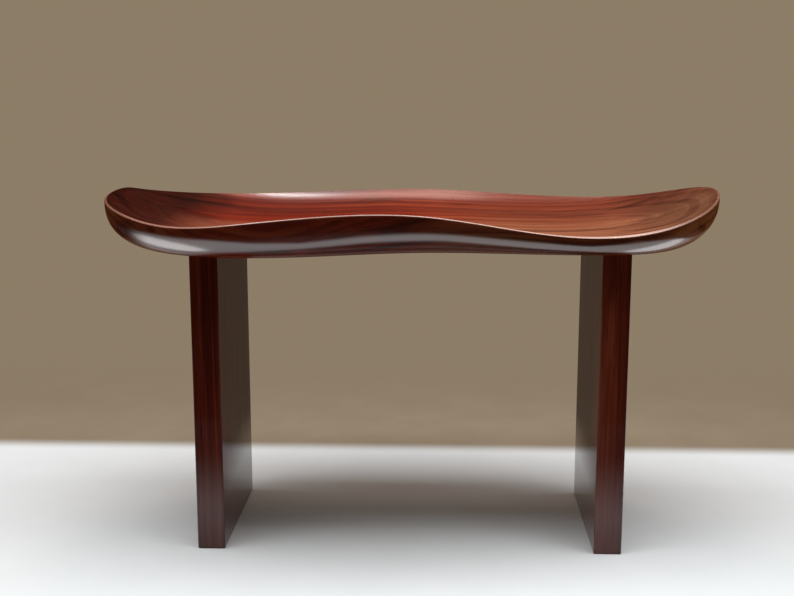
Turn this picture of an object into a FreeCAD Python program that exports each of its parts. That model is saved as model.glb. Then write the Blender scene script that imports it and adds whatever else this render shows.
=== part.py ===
import FreeCAD, Part
import bisect
import math
import os

# A slab-legged wooden stool with a long hollowed seat.
# The seat is carved from one thick board. Its underside is flat, its sides round up to a
# thin waving rim, and its hollow is deepest in a bay at each end, with a low saddle in
# the middle. Two upright slabs carry it. Each slab is housed in the underside and held
# by three loose tenons, glued into blind mortises in the slab's top and in the seat.
# Millimetres. +X runs along the seat, +Y from the front edge to the back, +Z up.
# The origin lies on the floor under the middle of the seat.

# Seat
seat_length = 800.0
seat_width = 370.0
rim_height = 70.0
underside_height = 396.0
hollow_floor = 19.0
saddle_rise = 6.0
saddle_reach = 150.0
rim_ease = 2.5
rim_ease_slope = 0.4
cutter_overrun = 10.0

# Legs
leg_thickness = 36.0
leg_width = 228.0
leg_gap = 484.5
leg_offset_x = -7.5
leg_offset_y = 13.0
leg_edge_bevel = 1.2
housing_depth = 3.0

# Loose tenons
tenon_thickness = 12.0
tenon_width = 48.0
tenon_in_seat = 9.0
tenon_in_leg = 28.0
tenon_rows = 3
tenon_edge_bevel = 1.5
glue_gap = 0.1
mortise_end_gap = 0.8

# The rim, anticlockwise from the right-hand end. Each station is a share of half the
# seat's length, of half its width, and of the rim's greatest height over the underside.
rim_shares = [
    (0.999, 0.060, 0.985),
    (0.958, 0.530, 0.930),
    (0.790, 0.795, 0.720),
    (0.500, 0.940, 0.655),
    (0.000, 0.998, 0.780),
    (-0.520, 0.995, 0.690),
    (-0.815, 0.855, 0.715),
    (-0.970, 0.560, 0.850),
    (-0.998, 0.055, 1.000),
    (-0.982, -0.475, 0.850),
    (-0.820, -0.770, 0.580),
    (-0.520, -1.009, 0.650),
    (0.030, -0.745, 0.715),
    (0.510, -0.705, 0.350),
    (0.775, -0.615, 0.460),
    (0.930, -0.370, 0.745),
]

# The rounding under the rim reaches inward by these multiples of the wall's height. It
# is upright at the rim and level at the underside.
side_bilge_ratio = 0.96
end_bilge_ratio = 1.65
bilge_power = 2.5
bilge_rings = 7
bilge_degree = 3
seam_overlap = 5

# The hollow climbs from its floor to the rim as this power of the way from the middle.
hollow_power = 5.0
hollow_sections = 16
section_points = 10
rim_samples = 720

half_length = seat_length / 2
half_width = seat_width / 2
up = FreeCAD.Vector(0, 0, 1)


def rim_point(station):
    along, across, height = station
    x = along * half_length
    y = across * half_width
    return FreeCAD.Vector(x, y, underside_height + height * rim_height)


rim_points = [rim_point(station) for station in rim_shares]
rim_count = len(rim_points)


def running_sums(steps):
    sums = [0.0]
    for step in steps:
        sums.append(sums[-1] + step)
    return sums


# Every ring of the seat has its stations at these distances round the rim. The open
# ones run on past the seam at both ends, to find how a ring crosses it.
rim_steps = [
    rim_points[(i + 1) % rim_count].distanceToPoint(rim_points[i]) for i in range(rim_count)
]
ring_parameters = running_sums(rim_steps)
open_parameters = running_sums(rim_steps[-seam_overlap:] + rim_steps + rim_steps[:seam_overlap])


def ring_curve(points):
    open_curve = Part.BSplineCurve()
    open_curve.interpolate(
        Points=points[-seam_overlap:] + points + points[: seam_overlap + 1],
        Parameters=open_parameters,
    )
    tangents = [FreeCAD.Vector()] * rim_count
    tangents[0] = open_curve.getD1(open_parameters[seam_overlap])[1]
    curve = Part.BSplineCurve()
    curve.interpolate(
        Points=points,
        PeriodicFlag=True,
        Parameters=ring_parameters,
        Tangents=tangents,
        TangentFlags=[i == 0 for i in range(rim_count)],
    )
    return curve


def ring_wire(points):
    return Part.Wire(ring_curve(points).toShape())


def outward_normal(i):
    chord = rim_points[(i + 1) % rim_count] - rim_points[i - 1]
    return FreeCAD.Vector(chord.y, -chord.x, 0).normalize()


rim_normals = [outward_normal(i) for i in range(rim_count)]


def bilge_ring(angle):
    inward = 1 - math.cos(angle) ** (2 / bilge_power)
    down = math.sin(angle) ** (2 / bilge_power)
    ring = []
    for point, normal in zip(rim_points, rim_normals):
        wall = point.z - underside_height
        ratio = side_bilge_ratio + (end_bilge_ratio - side_bilge_ratio) * normal.x**2
        moved = point - normal * (inward * ratio * wall)
        ring.append(FreeCAD.Vector(moved.x, moved.y, point.z - down * wall))
    return ring


def hull():
    angles = [math.pi / 2 * step / (bilge_rings - 1) for step in range(bilge_rings)]
    wires = [ring_wire(bilge_ring(angle)) for angle in reversed(angles)]
    above = ring_wire([point + up * cutter_overrun for point in rim_points])
    flat_height = underside_height + rim_height + 2 * cutter_overrun
    flat = ring_wire([FreeCAD.Vector(p.x, p.y, flat_height) for p in rim_points])
    sides = Part.makeLoft(wires + [above], False, False, False, bilge_degree)
    collar = Part.makeLoft([above, flat], False, True)
    ends = [Part.Face(wires[0]), Part.Face(flat)]
    return Part.makeSolid(Part.makeShell(sides.Faces + collar.Faces + ends))


def rim_by_angle():
    curve = ring_curve(rim_points)
    samples = []
    for i in range(rim_samples):
        point = curve.value(ring_parameters[-1] * i / rim_samples)
        angle = math.atan2(point.y, point.x) % (2 * math.pi)
        samples.append((angle, math.hypot(point.x, point.y), point.z))
    samples.sort()
    first = samples[0]
    last = samples[-1]
    before = (last[0] - 2 * math.pi, last[1], last[2])
    after = (first[0] + 2 * math.pi, first[1], first[2])
    return [before] + samples + [after]


rim_table = rim_by_angle()
rim_angles = [sample[0] for sample in rim_table]


def rim_at(angle):
    i = bisect.bisect_right(rim_angles, angle)
    low, high = rim_table[i - 1], rim_table[i]
    mix = (angle - low[0]) / (high[0] - low[0])
    return low[1] + mix * (high[1] - low[1]), low[2] + mix * (high[2] - low[2])


def hollow_height(x, y):
    radius, rim = rim_at(math.atan2(y, x) % (2 * math.pi))
    share = math.hypot(x, y) / radius
    climb = share**hollow_power if share < 1 else 1 + hollow_power * (share - 1)
    saddle = saddle_rise * math.exp(-((x / saddle_reach) ** 2))
    floor = underside_height + hollow_floor + saddle
    return floor + climb * (rim + rim_ease - floor)


def hollow_cutter():
    reach_x = half_length + cutter_overrun
    reach_y = half_width + cutter_overrun
    net = []
    for i in range(hollow_sections + 1):
        x = reach_x * (2 * i / hollow_sections - 1)
        ys = [reach_y * (2 * j / section_points - 1) for j in range(section_points + 1)]
        net.append([FreeCAD.Vector(x, y, hollow_height(x, y)) for y in ys])
    surface = Part.BSplineSurface()
    surface.interpolate(net)
    return surface.toShape().extrude(up * 2 * seat_width)


def rim_cutter():
    wires = []
    for reach in (cutter_overrun, -cutter_overrun):
        drop = rim_ease_slope * reach
        ring = [p + n * reach - up * drop for p, n in zip(rim_points, rim_normals)]
        wires.append(ring_wire(ring))
    strip = Part.makeLoft(wires, False, True).Faces[0]
    return strip.extrude(up * 2 * seat_width)


def block(length, width, height, centre):
    corner = FreeCAD.Vector(centre.x - length / 2, centre.y - width / 2, centre.z)
    return Part.makeBox(length, width, height, corner)


def leg_centre(side):
    x = leg_offset_x + side * (leg_gap + leg_thickness) / 2
    return FreeCAD.Vector(x, leg_offset_y, 0)


joint_height = underside_height + housing_depth
tenon_pitch = leg_width / tenon_rows


def tenon_base(side, row):
    centre = leg_centre(side)
    return centre + FreeCAD.Vector(0, row * tenon_pitch, joint_height - tenon_in_leg)


def tenon(side, row):
    height = tenon_in_leg + tenon_in_seat
    solid = block(tenon_thickness, tenon_width, height, tenon_base(side, row))
    ends = [edge for edge in solid.Edges if edge.BoundBox.ZLength < tenon_edge_bevel]
    return solid.makeChamfer(tenon_edge_bevel, ends)


def mortise(side, row):
    height = tenon_in_leg + tenon_in_seat + 2 * mortise_end_gap
    base = tenon_base(side, row) - up * mortise_end_gap
    wide = 2 * glue_gap
    return block(tenon_thickness + wide, tenon_width + wide, height, base)


def leg(side):
    solid = block(leg_thickness, leg_width, joint_height, leg_centre(side))
    top = solid.BoundBox.ZMax
    eased = [e for e in solid.Edges if e.BoundBox.ZMin < top]
    solid = solid.makeChamfer(leg_edge_bevel, eased)
    for row in (-1, 0, 1):
        solid = solid.cut(mortise(side, row))
    return solid


def seat():
    solid = hull().cut(hollow_cutter()).cut(rim_cutter())
    for side in (-1, 1):
        wide = 2 * glue_gap
        base = leg_centre(side)
        solid = solid.cut(block(leg_thickness + wide, leg_width + wide, joint_height, base))
        for row in (-1, 0, 1):
            solid = solid.cut(mortise(side, row))
    return solid


def write(name, shape):
    shape.exportStep(os.path.join("parts", name + ".step"))
    print(name, len(shape.Solids), shape.isValid(), round(shape.Volume))


os.makedirs("parts", exist_ok=True)
write("seat", seat())
for side, hand in ((-1, "left"), (1, "right")):
    write(hand + "_leg", leg(side))
    for row, place in ((-1, "front"), (0, "middle"), (1, "back")):
        write(hand + "_tenon_" + place, tenon(side, row))
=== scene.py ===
import math

import bpy
import numpy as np
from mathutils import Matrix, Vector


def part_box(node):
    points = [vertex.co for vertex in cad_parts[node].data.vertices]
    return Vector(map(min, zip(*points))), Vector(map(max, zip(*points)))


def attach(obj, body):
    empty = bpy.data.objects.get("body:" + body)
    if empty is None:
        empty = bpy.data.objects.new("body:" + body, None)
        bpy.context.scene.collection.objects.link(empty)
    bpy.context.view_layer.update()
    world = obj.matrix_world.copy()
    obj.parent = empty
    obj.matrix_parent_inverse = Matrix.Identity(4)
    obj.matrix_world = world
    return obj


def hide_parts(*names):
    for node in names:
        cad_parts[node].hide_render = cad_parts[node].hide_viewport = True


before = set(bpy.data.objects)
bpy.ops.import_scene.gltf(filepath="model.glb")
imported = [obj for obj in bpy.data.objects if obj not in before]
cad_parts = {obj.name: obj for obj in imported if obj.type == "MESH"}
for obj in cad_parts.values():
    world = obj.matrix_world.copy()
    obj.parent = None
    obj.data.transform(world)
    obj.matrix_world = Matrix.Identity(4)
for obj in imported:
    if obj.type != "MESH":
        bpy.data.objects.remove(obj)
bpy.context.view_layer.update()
bpy.ops.object.select_all(action="DESELECT")

# The legs
# Two upright slabs of dark red-brown hardwood with slightly eased edges and a satin
# lacquer. Their grain runs up and down, and their tops are housed in the seat.
leg_nodes = ("left_leg", "right_leg")
leg_edge_gloss = 0.07
leg_face_extra = 0.25
leg_foot_extra = 0.90
leg_roughness = 0.30
leg_streak_roughness = 0.22
pore_depth = 0.0002
mark_fade = 0.12
unmarked = (1, 1, 1)


def plug(socket, value):
    if isinstance(value, bpy.types.NodeSocket):
        socket.id_data.links.new(value, socket)
    else:
        socket.default_value = value


def set_sockets(node, **values):
    for name, value in values.items():
        plug(node.inputs[name.replace("_", " ")], value)


def add_node(tree, kind, settings=None, **values):
    node = tree.nodes.new(kind)
    for name, setting in (settings or {}).items():
        setattr(node, name, setting)
    set_sockets(node, **values)
    return node


def math_node(tree, operation, *values):
    node = add_node(tree, "ShaderNodeMath", {"operation": operation})
    for socket, value in zip(node.inputs, values):
        plug(socket, value)
    return node.outputs[0]


def weighted_sum(tree, *parts):
    total = 0.0
    for value, weight in parts:
        total = math_node(tree, "MULTIPLY_ADD", value, weight, total)
    return total


def axes(tree, vector):
    return add_node(tree, "ShaderNodeSeparateXYZ", Vector=vector).outputs


# A smooth step goes from 0 at none_at to 1 at all_at, and stays there beyond them.
# Either of the two may be the higher.
def smooth_step(tree, value, none_at, all_at):
    node = add_node(
        tree,
        "ShaderNodeMapRange",
        {"interpolation_type": "SMOOTHSTEP"},
        Value=value,
        From_Min=none_at,
        From_Max=all_at,
    )
    return node.outputs[0]


def colour_ramp(tree, value, stops):
    ramp = add_node(tree, "ShaderNodeValToRGB", Fac=value)
    elements = ramp.color_ramp.elements
    while len(elements) < len(stops):
        elements.new(0.5)
    for element, (place, colour) in zip(elements, stops):
        element.position = place
        element.color = (*colour, 1)
    return ramp.outputs["Color"]


def mix_colour(tree, share, first, second, blend="MIX"):
    node = add_node(tree, "ShaderNodeMix", {"data_type": "RGBA", "blend_type": blend})
    plug(node.inputs[0], share)
    for socket, colour in ((node.inputs[6], first), (node.inputs[7], second)):
        plug(socket, (*colour, 1) if isinstance(colour, tuple) else colour)
    return node.outputs[2]


def stretched_noise(tree, point, scale, detail, roughness=0.55, distortion=0.0):
    fitted = add_node(tree, "ShaderNodeMapping", Vector=point, Scale=scale)
    noise = add_node(
        tree,
        "ShaderNodeTexNoise",
        Vector=fitted.outputs[0],
        Scale=1.0,
        Detail=detail,
        Roughness=roughness,
        Distortion=distortion,
    )
    return noise.outputs["Fac"]


# Veins and pores are marks of a darker tint. They are darkest where the noise is under
# dark_at, and fade out over the next mark_fade.
def wood_marks(tree, wood_colour, noise, dark_at, tint, share):
    marks = colour_ramp(tree, noise, [(dark_at, tint), (dark_at + mark_fade, unmarked)])
    return mix_colour(tree, share, wood_colour, marks, "MULTIPLY")


def pore_relief(tree, pores, strength):
    bump = add_node(
        tree, "ShaderNodeBump", Strength=strength, Distance=pore_depth, Height=pores
    )
    return bump.outputs[0]


def new_finish(name):
    material = bpy.data.materials.new(name)
    material.use_nodes = True
    tree = material.node_tree
    shader = tree.nodes["Principled BSDF"]
    place = add_node(tree, "ShaderNodeTexCoord").outputs["Object"]
    return material, tree, shader, place


def dress(nodes, material):
    for node in nodes:
        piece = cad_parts[node]
        piece.data.materials.clear()
        piece.data.materials.append(material)


leg_wood, tree, shader, place = new_finish("leg_wood")
streaks = stretched_noise(
    tree, place, scale=(110, 110, 2.4), detail=6, roughness=0.6, distortion=0.6
)
figure = stretched_noise(
    tree, place, scale=(14, 9, 1.1), detail=3, roughness=0.5, distortion=1.2
)
pores = stretched_noise(tree, place, scale=(700, 700, 28), detail=2, roughness=0.5)
leg_colour = colour_ramp(
    tree,
    weighted_sum(tree, (streaks, 0.6), (figure, 0.4)),
    [
        (0.36, (0.022, 0.003, 0.001)),
        (0.47, (0.050, 0.006, 0.003)),
        (0.55, (0.076, 0.011, 0.005)),
        (0.66, (0.130, 0.028, 0.013)),
    ],
)
leg_colour = wood_marks(
    tree, leg_colour, pores, dark_at=0.30, tint=(0.45, 0.42, 0.40), share=0.75
)

# The lacquer is thickest at the foot, and thicker on the broad faces than on the edges.
facing = add_node(tree, "ShaderNodeNewGeometry").outputs["Normal"]
broad_face = math_node(tree, "ABSOLUTE", axes(tree, facing)["X"])
foot = smooth_step(tree, axes(tree, place)["Z"], none_at=0.14, all_at=0.04)
leg_gloss = math_node(tree, "MULTIPLY_ADD", broad_face, leg_face_extra, leg_edge_gloss)
leg_gloss = math_node(tree, "MULTIPLY_ADD", foot, leg_foot_extra, leg_gloss)
leg_sheen = math_node(
    tree, "MULTIPLY_ADD", streaks, leg_streak_roughness, leg_roughness
)
set_sockets(
    shader,
    Base_Color=leg_colour,
    Specular_IOR_Level=0.0,
    Roughness=leg_sheen,
    Coat_Weight=math_node(tree, "MINIMUM", leg_gloss, 1.0),
    Coat_Roughness=0.045,
    Coat_IOR=1.55,
    Normal=pore_relief(tree, pores, strength=0.25),
)
dress(leg_nodes, leg_wood)

# The loose tenons
# Six flat tongues of bare pale hardwood, glued into blind mortises in the slabs and in
# the seat. None of them shows on the finished stool.
tenon_nodes = [
    side + "_tenon_" + row
    for side in ("left", "right")
    for row in ("front", "middle", "back")
]
tenon_wood, tree, shader, place = new_finish("tenon_wood")
tenon_grain = stretched_noise(tree, place, scale=(160, 160, 6), detail=5, roughness=0.6)
tenon_colour = colour_ramp(
    tree, tenon_grain, [(0.35, (0.30, 0.17, 0.08)), (0.65, (0.52, 0.34, 0.19))]
)
set_sockets(shader, Base_Color=tenon_colour, Specular_IOR_Level=0.0, Roughness=0.7)
dress(tenon_nodes, tenon_wood)

# The seat
# One thick board of the same hardwood, carved into a long hollow with a waving rim and
# rounded under like a boat, then polished and given a deep gloss lacquer.
seat_length = 0.800
seat_width = 0.370
rim_height = 0.070
underside = 0.396
side_bilge_ratio = 0.96
end_bilge_ratio = 1.65
bilge_power = 2.5
floor_thickness = 0.019
saddle_rise = 0.006
saddle_reach = 0.150
hollow_power = 5.0
rim_ease = 0.0025
rim_slope = 0.4
rim_round = 0.0011

# The rim's stations, anticlockwise from the right-hand end. Each is a share of half the
# seat's length, of half its width, and of the rim's greatest height over the underside.
rim_shares = np.array(
    [
        (0.999, 0.060, 0.985),
        (0.958, 0.530, 0.930),
        (0.790, 0.795, 0.720),
        (0.500, 0.940, 0.655),
        (0.000, 0.998, 0.780),
        (-0.520, 0.995, 0.690),
        (-0.815, 0.855, 0.715),
        (-0.970, 0.560, 0.850),
        (-0.998, 0.055, 1.000),
        (-0.982, -0.475, 0.850),
        (-0.820, -0.770, 0.580),
        (-0.520, -1.009, 0.650),
        (0.030, -0.745, 0.715),
        (0.510, -0.705, 0.350),
        (0.775, -0.615, 0.460),
        (0.930, -0.370, 0.745),
    ]
)
half_length = seat_length / 2
half_width = seat_width / 2
stations = rim_shares * (half_length, half_width, rim_height) + (0, 0, underside)
station_count = len(stations)

# A smooth closed curve goes through the stations, and each ring of the seat's skin
# follows one like it. The spokes are even steps along the rim, and curve_weights turns
# a value at each station into one at each spoke.
spokes = 360
ahead = np.roll(stations, -1, axis=0)
behind = np.roll(stations, 1, axis=0)
spans = np.linalg.norm(ahead - stations, axis=1)
before = np.roll(spans, 1)
identity = np.eye(station_count)
bend = np.diag(2 * (before + spans))
slope = np.zeros((station_count, station_count))
for i in range(station_count):
    j = (i + 1) % station_count
    bend[i, i - 1] = before[i]
    bend[i, j] = spans[i]
    rise = (identity[j] - identity[i]) / spans[i]
    fall = (identity[i] - identity[i - 1]) / before[i]
    slope[i] = 6 * (rise - fall)
curvature = np.linalg.solve(bend, slope)
distances = np.concatenate([[0], np.cumsum(spans)])
curve_weights = []
for distance in np.arange(spokes) / spokes * distances[-1]:
    i = int(np.searchsorted(distances, distance, side="right")) - 1
    j = (i + 1) % station_count
    late = (distance - distances[i]) / spans[i]
    early = 1 - late
    pull = spans[i] ** 2 / 6
    curve_weights.append(
        early * identity[i]
        + late * identity[j]
        + pull * (early**3 - early) * curvature[i]
        + pull * (late**3 - late) * curvature[j]
    )
curve_weights = np.array(curve_weights)

chords = ahead - behind
outward = np.stack([chords[:, 1], -chords[:, 0], np.zeros(station_count)], axis=1)
outward /= np.linalg.norm(outward, axis=1)[:, None]
wall = stations[:, 2:] - underside
end_share = outward[:, :1] ** 2
bilge_ratio = side_bilge_ratio + (end_bilge_ratio - side_bilge_ratio) * end_share
bilge_reach = bilge_ratio * wall
rim = curve_weights @ stations
rim_outward = curve_weights @ outward
rim_radius = (rim[:, :2] * rim_outward[:, :2]).sum(axis=1)


def hollow_floor(x):
    saddle = saddle_rise * np.exp(-((x / saddle_reach) ** 2))
    return underside + floor_thickness + saddle


def hollow_ring(share):
    x = rim[:, 0] * share
    y = rim[:, 1] * share
    floor = hollow_floor(x)
    z = floor + share**hollow_power * (rim[:, 2] + rim_ease - floor)
    return np.stack([x, y, z], axis=1)


# The rim's top slopes up inward to a crest, where it meets the hollow. Each round of
# the search moves every spoke's crest nearer to that place.
search_rounds = 30
first_crest = 0.995
usual_depth = 0.045
crest = np.full(spokes, first_crest)
for _ in range(search_rounds):
    rim_top = rim[:, 2] + rim_slope * (1 - crest) * rim_radius
    over = hollow_ring(crest)[:, 2] - rim_top
    crest -= over / (hollow_power * usual_depth + rim_slope * rim_radius)

# The skin's rings go from the middle of the underside out and up to the rim, then from
# the crest to the middle of the hollow. In the hollow they are closest near the rim.
flat_shares = (0, 0.3, 0.6, 0.85, 0.96)
bilge_rings = 34
hollow_rings = 64
ring_crowding = 1.4
foot_ring = curve_weights @ (stations - outward * bilge_reach)
rings = []
for share in flat_shares:
    ring = foot_ring * share
    ring[:, 2] = underside
    rings.append(ring)
for angle in np.linspace(math.pi / 2, 0, bilge_rings):
    inward = 1 - math.cos(angle) ** (2 / bilge_power)
    down = math.sin(angle) ** (2 / bilge_power)
    ring = stations - outward * (inward * bilge_reach)
    ring[:, 2] = stations[:, 2] - down * wall[:, 0]
    rings.append(curve_weights @ ring)
arris_ring = len(rings) - 1
crest_ring = len(rings)
for step in np.linspace(0, 1, hollow_rings):
    rings.append(hollow_ring(crest * (1 - step**ring_crowding)))
rings = np.array(rings)

bpy.ops.mesh.primitive_grid_add(
    x_subdivisions=spokes, y_subdivisions=len(rings) - 1, size=1
)
seat = bpy.context.object
seat.name = "carved_seat"
skin = np.concatenate([rings, rings[:, :1]], axis=1)
seat.data.vertices.foreach_set("co", skin.astype(np.float32).ravel())
seat.data.update()
ring_mark = seat.data.attributes.new("ring", "INT", "POINT")
ring_mark.data.foreach_set("value", np.repeat(np.arange(len(rings)), spokes + 1))
on_edge = np.isin(np.arange(len(rings)), (arris_ring, crest_ring)).astype(np.float32)
edge_mark = seat.data.attributes.new("rim_edge", "FLOAT", "POINT")
edge_mark.data.foreach_set("value", np.repeat(on_edge, spokes + 1))
merge_distance = 0.00002
bpy.ops.object.mode_set(mode="EDIT")
bpy.ops.mesh.select_all(action="SELECT")
bpy.ops.mesh.remove_doubles(threshold=merge_distance)
bpy.ops.mesh.normals_make_consistent(inside=False)
bpy.ops.mesh.select_all(action="DESELECT")
bpy.ops.object.mode_set(mode="OBJECT")

# Both edges of the rim are eased with a small round.
ring_of = [mark.value for mark in seat.data.attributes["ring"].data]
for edge in seat.data.edges:
    first, second = (ring_of[v] for v in edge.vertices)
    edge.select = first == second and first in (arris_ring, crest_ring)
bpy.ops.object.mode_set(mode="EDIT")
bpy.ops.mesh.select_mode(type="EDGE")
bpy.ops.mesh.bevel(offset=rim_round, segments=4, affect="EDGES")
bpy.ops.object.mode_set(mode="OBJECT")

# The underside has a shallow housing for each slab, and blind mortises for the tenons.
glue_gap = 0.0001
tenon_end_gap = 0.0008
cutter_overrun = 0.010


def joint_box(node, foot, end_gap):
    low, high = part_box(node)
    return (
        (low[0] - glue_gap, low[1] - glue_gap, foot),
        (high[0] + glue_gap, high[1] + glue_gap, high[2] + end_gap),
    )


def cut_boxes(boxes):
    cutters = []
    for low, high in boxes:
        low, high = np.array(low), np.array(high)
        bpy.ops.mesh.primitive_cube_add(
            size=1, location=(low + high) / 2, scale=high - low
        )
        cutters.append(bpy.context.object)
    bpy.ops.object.select_all(action="DESELECT")
    for cutter in cutters:
        cutter.select_set(True)
    bpy.ops.object.join()
    joined = bpy.context.object
    bpy.ops.object.select_all(action="DESELECT")
    seat.select_set(True)
    bpy.context.view_layer.objects.active = seat
    bpy.ops.object.modifier_add(type="BOOLEAN")
    seat.modifiers[-1].operation = "DIFFERENCE"
    seat.modifiers[-1].object = joined
    bpy.ops.object.modifier_apply(modifier=seat.modifiers[-1].name)
    bpy.data.objects.remove(joined)


cut_boxes([joint_box(node, underside - cutter_overrun, 0.0) for node in leg_nodes])
cut_boxes([joint_box(node, underside, tenon_end_gap) for node in tenon_nodes])
sharpest_smooth = math.radians(40)
bpy.ops.object.shade_smooth_by_angle(angle=sharpest_smooth)

# The board's growth rings wander round the pith, which lay below it in the log. The
# grain is made of these rings, a broad figure, and fine streaks along the board.
pith_y = 0.045
pith_z = 0.250
ring_sway = (0.0, 0.045, 0.030)
ring_taper = 0.02
seat_wood, tree, shader, place = new_finish("seat_wood")
wander = add_node(
    tree, "ShaderNodeTexNoise", Vector=place, Scale=4.0, Detail=2.0, Roughness=0.5
)
sway = add_node(tree, "ShaderNodeVectorMath", {"operation": "MULTIPLY_ADD"})
for socket, value in zip(sway.inputs, (wander.outputs["Color"], ring_sway, place)):
    plug(socket, value)
swayed = sway.outputs[0]
lengthwise, crosswise, upright = axes(tree, swayed)
from_pith_y = math_node(tree, "SUBTRACT", crosswise, pith_y)
from_pith_z = math_node(tree, "SUBTRACT", upright, pith_z)
from_pith = math_node(
    tree,
    "SQRT",
    weighted_sum(tree, (from_pith_y, from_pith_y), (from_pith_z, from_pith_z)),
)
growth_rings = add_node(
    tree,
    "ShaderNodeTexNoise",
    {"noise_dimensions": "1D"},
    W=math_node(tree, "MULTIPLY_ADD", lengthwise, ring_taper, from_pith),
    Scale=150.0,
    Detail=3.0,
    Roughness=0.6,
)
streaks = stretched_noise(
    tree, swayed, scale=(1.6, 60, 60), detail=6, roughness=0.6, distortion=0.4
)
figure = stretched_noise(tree, swayed, scale=(1.3, 11, 14), detail=2, roughness=0.5)
veins = stretched_noise(
    tree, swayed, scale=(2.4, 26, 30), detail=4, roughness=0.55, distortion=0.9
)
pores = stretched_noise(tree, place, scale=(34, 800, 800), detail=2, roughness=0.5)
grain = weighted_sum(
    tree, (growth_rings.outputs["Fac"], 0.33), (streaks, 0.33), (figure, 0.34)
)
red_colour = colour_ramp(
    tree,
    grain,
    [
        (0.36, (0.070, 0.006, 0.003)),
        (0.46, (0.140, 0.012, 0.005)),
        (0.54, (0.195, 0.020, 0.007)),
        (0.66, (0.290, 0.050, 0.019)),
    ],
)
# The brown ramp is the paler wood with a painted reflection of the tan room on it.
brown_and_sheen_colour = colour_ramp(
    tree,
    grain,
    [
        (0.36, (0.120, 0.029, 0.013)),
        (0.46, (0.210, 0.064, 0.030)),
        (0.54, (0.265, 0.093, 0.045)),
        (0.66, (0.335, 0.135, 0.070)),
    ],
)


def product(tree, value, *factors):
    for factor in factors:
        value = math_node(tree, "MULTIPLY", value, factor)
    return value


# The right half is a paler brown, most of all towards the front: partly the wood's
# own tone and partly a painted reflection of the tan room. The front of the hollow
# has a little painted brown reflection all along, up to the left end. The value along
# goes from 0 at the seat's left end to 1 at its right end.
front_sheen = 0.6
along = add_node(
    tree,
    "ShaderNodeMapRange",
    Value=lengthwise,
    From_Min=-half_length,
    From_Max=half_length,
).outputs[0]
facing = add_node(tree, "ShaderNodeNewGeometry").outputs["Normal"]
facing_up = axes(tree, facing)["Z"]
hollow_share = smooth_step(tree, facing_up, none_at=0.0, all_at=0.3)
right_brown_and_sheen = product(
    tree,
    smooth_step(tree, lengthwise, none_at=-0.05, all_at=0.15),
    smooth_step(tree, crosswise, none_at=0.24, all_at=0.00),
)
front_sheen_share = product(
    tree,
    smooth_step(tree, crosswise, none_at=0.10, all_at=-0.01),
    smooth_step(tree, along, none_at=0.07, all_at=0.16),
    hollow_share,
    front_sheen,
)
brown_and_sheen_share = math_node(tree, "MAXIMUM", right_brown_and_sheen, front_sheen_share)
seat_colour = mix_colour(tree, brown_and_sheen_share, red_colour, brown_and_sheen_colour)
seat_colour = wood_marks(
    tree, seat_colour, veins, dark_at=0.33, tint=(0.42, 0.30, 0.28), share=0.85
)
seat_colour = wood_marks(
    tree, seat_colour, pores, dark_at=0.30, tint=(0.50, 0.45, 0.42), share=0.7
)

# Inside, the two ends and the back of the right bay are painted darker as shade, and
# the middle a little lighter as painted light. The outside is painted darker than the
# hollow as shade, and browner at its two ends.
far_bay_shade_depth = 0.34
hollow_shading_tint = colour_ramp(
    tree,
    along,
    [
        (0.00, (0.14, 0.16, 0.20)),
        (0.09, (0.19, 0.16, 0.18)),
        (0.17, (0.86, 0.80, 0.84)),
        (0.28, (0.80, 0.78, 0.78)),
        (0.42, (0.86, 0.80, 0.80)),
        (0.53, (1.14, 1.12, 1.10)),
        (0.84, (1.00, 1.00, 1.00)),
        (0.92, (0.54, 0.56, 0.54)),
    ],
)
far_bay_shade = product(
    tree,
    smooth_step(tree, lengthwise, none_at=-0.10, all_at=0.10),
    smooth_step(tree, crosswise, none_at=0.04, all_at=0.16),
    far_bay_shade_depth,
)
hollow_shading_tint = mix_colour(tree, far_bay_shade, hollow_shading_tint, (0.30, 0.22, 0.22))
wall_shade_tint = colour_ramp(
    tree,
    along,
    [
        (0.00, (0.42, 0.95, 0.60)),
        (0.08, (0.38, 0.60, 0.45)),
        (0.20, (0.36, 0.32, 0.25)),
        (0.55, (0.38, 0.32, 0.25)),
        (0.80, (0.30, 0.18, 0.12)),
        (0.92, (0.42, 0.34, 0.18)),
        (1.00, (0.50, 0.50, 0.26)),
    ],
)
side_shading_tint = mix_colour(tree, hollow_share, wall_shade_tint, hollow_shading_tint)
# The painted light and shade multiply the wood's colour.
seat_colour = mix_colour(tree, 1.0, seat_colour, side_shading_tint, "MULTIPLY")

# A paler highlight line is painted on the rim's eased edges, darker towards the ends.
edge = add_node(tree, "ShaderNodeAttribute", {"attribute_name": "rim_edge"})
rim_share = smooth_step(tree, edge.outputs["Fac"], none_at=0.70, all_at=0.95)
rim_highlight_colour = colour_ramp(
    tree,
    along,
    [
        (0.00, (0.13, 0.045, 0.022)),
        (0.12, (0.24, 0.085, 0.050)),
        (0.50, (0.36, 0.170, 0.125)),
        (0.84, (0.44, 0.230, 0.170)),
        (0.92, (0.20, 0.075, 0.040)),
    ],
)
seat_colour = mix_colour(tree, rim_share, seat_colour, rim_highlight_colour)

# The lacquer is thickest on the rim and in a band along the turn of the bilge, which
# comes lower towards the ends. It is half as thick near the underside, and thin inside
# the hollow. The band's top and foot are given by how far the wood there faces down.
least_gloss = 0.05
hollow_extra = 0.18
band_extra = 0.53
underside_share = 0.5
rim_end_extra = 0.12
rim_middle_extra = 0.33
seat_roughness = 0.25
seat_streak_roughness = 0.20
lacquer_roughness = 0.20
rim_roughness_extra = 0.18


def level_ramp(tree, value, levels):
    return colour_ramp(tree, value, [(place, (level,) * 3) for place, level in levels])


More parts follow.
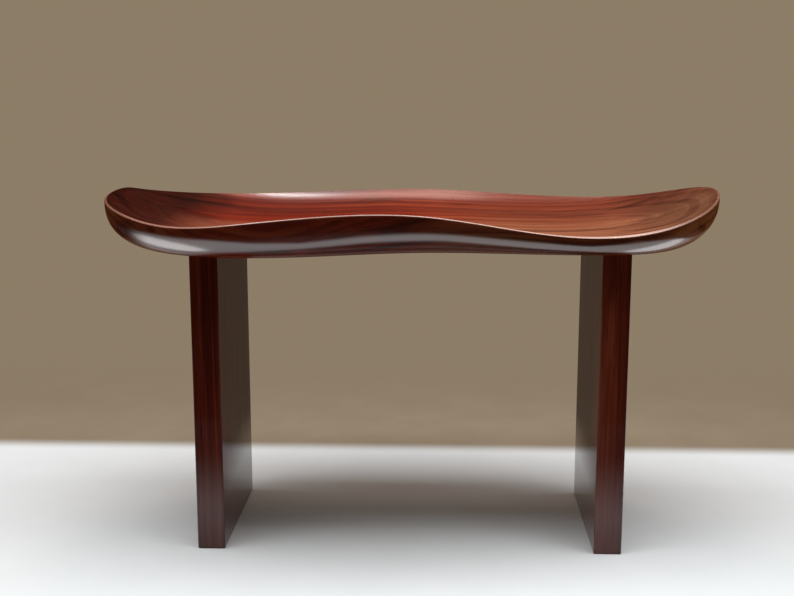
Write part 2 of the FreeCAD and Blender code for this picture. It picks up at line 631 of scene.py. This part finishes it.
band_top = level_ramp(
    tree,
    along,
    [
        (0.10, 0.16),
        (0.19, 0.22),
        (0.26, 0.38),
        (0.33, 0.44),
        (0.42, 0.34),
        (0.56, 0.25),
        (0.70, 0.21),
        (0.77, 0.30),
        (0.84, 0.13),
        (0.90, 0.28),
        (0.93, 0.50),
    ],
)
band_foot = level_ramp(
    tree,
    along,
    [
        (0.14, 0.92),
        (0.21, 0.73),
        (0.33, 0.64),
        (0.42, 0.53),
        (0.55, 0.47),
        (0.66, 0.52),
        (0.76, 0.62),
        (0.83, 0.86),
        (0.90, 0.72),
    ],
)
facing_down = math_node(tree, "MULTIPLY", facing_up, -1.0)
below_top = math_node(tree, "SUBTRACT", facing_down, band_top)
above_foot = math_node(tree, "SUBTRACT", band_foot, facing_down)
band = product(
    tree,
    smooth_step(tree, below_top, none_at=-0.07, all_at=0.06),
    smooth_step(tree, above_foot, none_at=-0.06, all_at=0.08),
    smooth_step(tree, along, none_at=0.050, all_at=0.095),
)
near_underside = product(
    tree, smooth_step(tree, facing_down, none_at=0.62, all_at=0.74), underside_share
)
inside = product(
    tree,
    smooth_step(tree, facing_up, none_at=0.1, all_at=0.4),
    smooth_step(tree, along, none_at=-0.05, all_at=0.25),
)
from_middle = math_node(tree, "ABSOLUTE", math_node(tree, "SUBTRACT", along, 0.5))
rim_middle = smooth_step(tree, from_middle, none_at=0.44, all_at=0.28)
rim_extra = math_node(tree, "MULTIPLY_ADD", rim_middle, rim_middle_extra, rim_end_extra)
seat_gloss = weighted_sum(
    tree,
    (math_node(tree, "MAXIMUM", band, near_underside), band_extra),
    (inside, hollow_extra),
    (rim_share, rim_extra),
)
seat_sheen = math_node(
    tree, "MULTIPLY_ADD", streaks, seat_streak_roughness, seat_roughness
)
lacquer_sheen = math_node(
    tree, "MULTIPLY_ADD", rim_share, rim_roughness_extra, lacquer_roughness
)
set_sockets(
    shader,
    Base_Color=seat_colour,
    Specular_IOR_Level=0.0,
    Roughness=seat_sheen,
    Coat_Weight=math_node(tree, "ADD", seat_gloss, least_gloss),
    Coat_Roughness=lacquer_sheen,
    Coat_IOR=2.8,
    Normal=pore_relief(tree, pores, strength=0.12),
)
seat.data.materials.append(seat_wood)
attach(seat, "root")
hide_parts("seat")

# The floor
# The stool stands on a pale sheet, which lies on tan ground. Behind the sheet and far
# from the stool the ground fades into the room.
floor_radius = 4.0
sheet_front, sheet_back = -0.72, 0.37
sheet_left, sheet_right = -1.50, 1.30
sheet_fade = 0.06
bpy.ops.mesh.primitive_circle_add(vertices=96, radius=floor_radius, fill_type="NGON")
floor = bpy.context.object
floor.name = "floor"
floor_paint, tree, shader, place = new_finish("floor_paint")
mottle = stretched_noise(tree, place, scale=(9, 9, 9), detail=3)
sheet_colour = colour_ramp(
    tree, mottle, [(0.3, (0.87, 0.905, 0.93)), (0.7, (0.90, 0.935, 0.96))]
)
ground_colour = colour_ramp(
    tree, mottle, [(0.3, (0.265, 0.208, 0.143)), (0.7, (0.30, 0.236, 0.162))]
)
across, back = axes(tree, place)[:2]
sheet = product(
    tree,
    smooth_step(tree, back, sheet_front, sheet_front + sheet_fade),
    smooth_step(tree, back, sheet_back, sheet_back - sheet_fade),
    smooth_step(tree, across, sheet_left, sheet_left + sheet_fade),
    smooth_step(tree, across, sheet_right, sheet_right - sheet_fade),
)
away = add_node(tree, "ShaderNodeVectorMath", {"operation": "LENGTH"}, Vector=place)
solid = product(
    tree,
    smooth_step(tree, back, none_at=1.00, all_at=0.36),
    smooth_step(tree, away.outputs["Value"], none_at=3.4, all_at=1.7),
)
set_sockets(
    shader,
    Base_Color=mix_colour(tree, sheet, ground_colour, sheet_colour),
    Alpha=solid,
    Roughness=0.85,
)
floor.data.materials.append(floor_paint)

# The light
# A wide soft lamp hangs over the stool and a little in front of it, and a warm smaller
# one behind it gives the gloss inside the far rim. Four more light the seat alone: two
# beside the second, and two low ones for the ends of its underside.
seat_only = bpy.data.collections.new("seat_only")
seat_only.objects.link(seat)
lamp_height = 2.1
near_floor = 0.02
white = (1.0, 1.0, 1.0)
warm = (1.0, 0.74, 0.62)
for name, location, size, energy, tilt, tint in (
    ("overhead_lamp", (0.0, -0.29, lamp_height), (3.0, 1.15), 60.0, 0.0, white),
    ("wide_gloss_lamp", (-0.07, 0.67, lamp_height), (0.50, 0.50), 4.4, 0.0, warm),
    ("middle_gloss_lamp", (0.09, 0.67, lamp_height), (0.20, 0.62), 2.8, 0.0, warm),
    ("small_gloss_lamp", (-0.47, 0.60, lamp_height), (0.10, 0.16), 4.9, 0.0, white),
    ("left_low_lamp", (-0.80, -0.13, near_floor), (0.70, 0.34), 1.35, math.pi, white),
    ("right_low_lamp", (0.68, -0.08, near_floor), (0.60, 0.34), 1.05, math.pi, white),
):
    bpy.ops.object.light_add(type="AREA", location=location, rotation=(tilt, 0.0, 0.0))
    lamp = bpy.context.object
    lamp.name = name
    lamp.data.shape = "RECTANGLE" if tilt == 0 else "ELLIPSE"
    lamp.data.size, lamp.data.size_y = size
    lamp.data.energy = energy
    lamp.data.color = tint
    lamp.visible_camera = False
    if name not in ("overhead_lamp", "wide_gloss_lamp"):
        lamp.light_linking.receiver_collection = seat_only

# The room
# It is plain, and tan where it is seen or mirrored. The light that it gives the stool
# is weaker and greyer than that.
room_seen = (0.265, 0.206, 0.138)
room_light = (0.105, 0.095, 0.080)
room = bpy.data.worlds.new("room")
bpy.context.scene.world = room
room.use_nodes = True
tree = room.node_tree
ray = add_node(tree, "ShaderNodeLightPath")
seen = ray.outputs["Is Camera Ray"]
for kind in ("Is Glossy Ray", "Is Transmission Ray"):
    seen = math_node(tree, "MAXIMUM", seen, ray.outputs[kind])
room_colour = mix_colour(tree, seen, room_light, room_seen)
set_sockets(tree.nodes["Background"], Color=room_colour)

# The camera
# It stands in front of the stool's long side, a little to the right of the middle, and
# looks slightly down and to the left.
camera_place = (0.0312, -1.540, 0.607)
look_down = 0.184
look_left = 0.0372
camera_lens = 52.6
bpy.ops.object.camera_add(
    location=camera_place, rotation=(math.pi / 2 - look_down, 0.0, look_left)
)
camera = bpy.context.object
camera.data.lens = camera_lens
bpy.context.scene.camera = camera
bpy.context.scene.view_settings.view_transform = "Standard"
